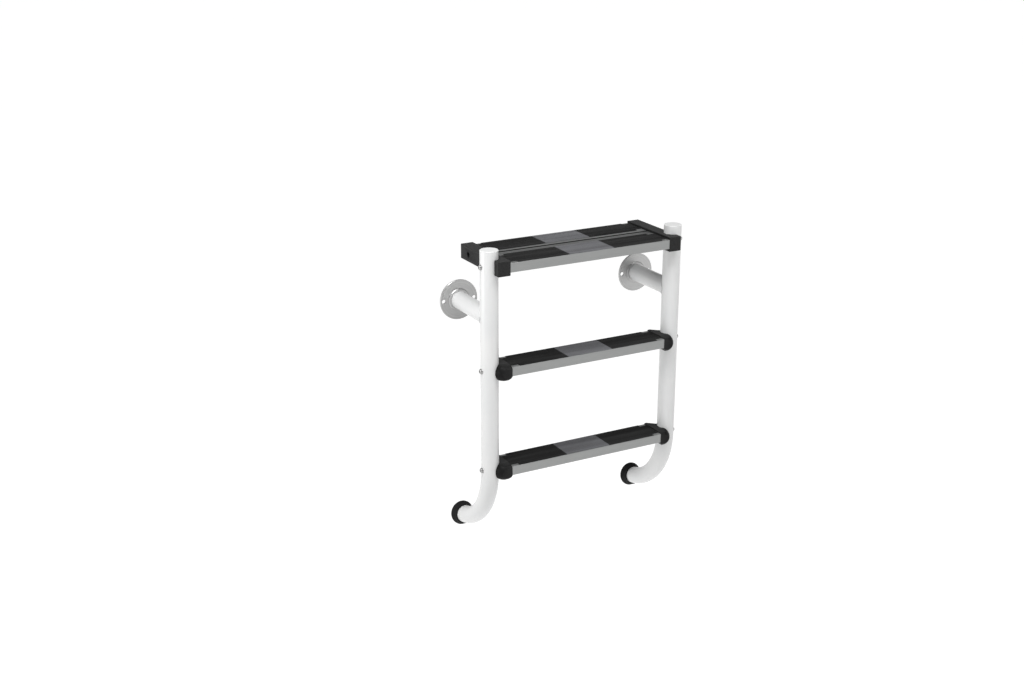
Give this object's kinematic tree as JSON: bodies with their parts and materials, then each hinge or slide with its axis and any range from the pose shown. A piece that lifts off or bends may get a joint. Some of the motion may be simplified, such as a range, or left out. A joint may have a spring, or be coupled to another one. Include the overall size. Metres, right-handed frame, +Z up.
{
  "type": "pool ladder",
  "caption": "Wall-fixed lower pool ladder: two bent tubes on short flanged arms, a deep double top step, single steps below with ribbed anti-slip pads, and rubber feet that rest on the wall.",
  "frame": {"origin": "on the wall plane, midway between the two wall flanges, at the height of their arms and of all four fixing holes", "axes": "+X across the ladder, +Y from the pool into the wall, +Z up along the tubes"},
  "size_m": [0.598, 0.2013, 0.7481],
  "materials": {
    "white_tube": "satin white",
    "flange_steel": "turned, satin grey",
    "tread_aluminium": "brushed along the length",
    "black_plastic": "fine moulded grain",
    "black_pad": "ribbed, matt",
    "grey_pad": "ribbed, matt",
    "foot_rubber": "matt",
    "fastener_steel": "satin"
  },
  "bodies": {
    "root": {"captive_nuts": "fastener_steel", "left_flange_collar": "flange_steel", "left_rubber_foot": "foot_rubber", "left_step_1_bracket": "black_plastic", "left_step_2_end_cap": "black_plastic", "left_step_3_end_cap": "black_plastic", "left_stringer": "white_tube", "left_top_plug": "white_tube", "left_wall_arm": "white_tube", "left_wall_flange": "flange_steel", "rear_tread_screws": "fastener_steel", "right_flange_collar": "flange_steel", "right_rubber_foot": "foot_rubber", "right_step_1_bracket": "black_plastic", "right_step_2_end_cap": "black_plastic", "right_step_3_end_cap": "black_plastic", "right_stringer": "white_tube", "right_top_plug": "white_tube", "right_wall_arm": "white_tube", "right_wall_flange": "flange_steel", "saddle_washers": "fastener_steel", "step_1_front_centre_pad": "grey_pad", "step_1_front_left_pad": "black_pad", "step_1_front_right_pad": "black_pad", "step_1_front_tread": "tread_aluminium", "step_1_joiner": "tread_aluminium", "step_1_rear_centre_pad": "grey_pad", "step_1_rear_left_pad": "black_pad", "step_1_rear_right_pad": "black_pad", "step_1_rear_tread": "tread_aluminium", "step_2_centre_pad": "grey_pad", "step_2_left_pad": "black_pad", "step_2_right_pad": "black_pad", "step_2_tread": "tread_aluminium", "step_3_centre_pad": "grey_pad", "step_3_left_pad": "black_pad", "step_3_right_pad": "black_pad", "step_3_tread": "tread_aluminium", "step_bolts": "fastener_steel", "sunk_washers": "fastener_steel"}
  },
  "joints": []
}
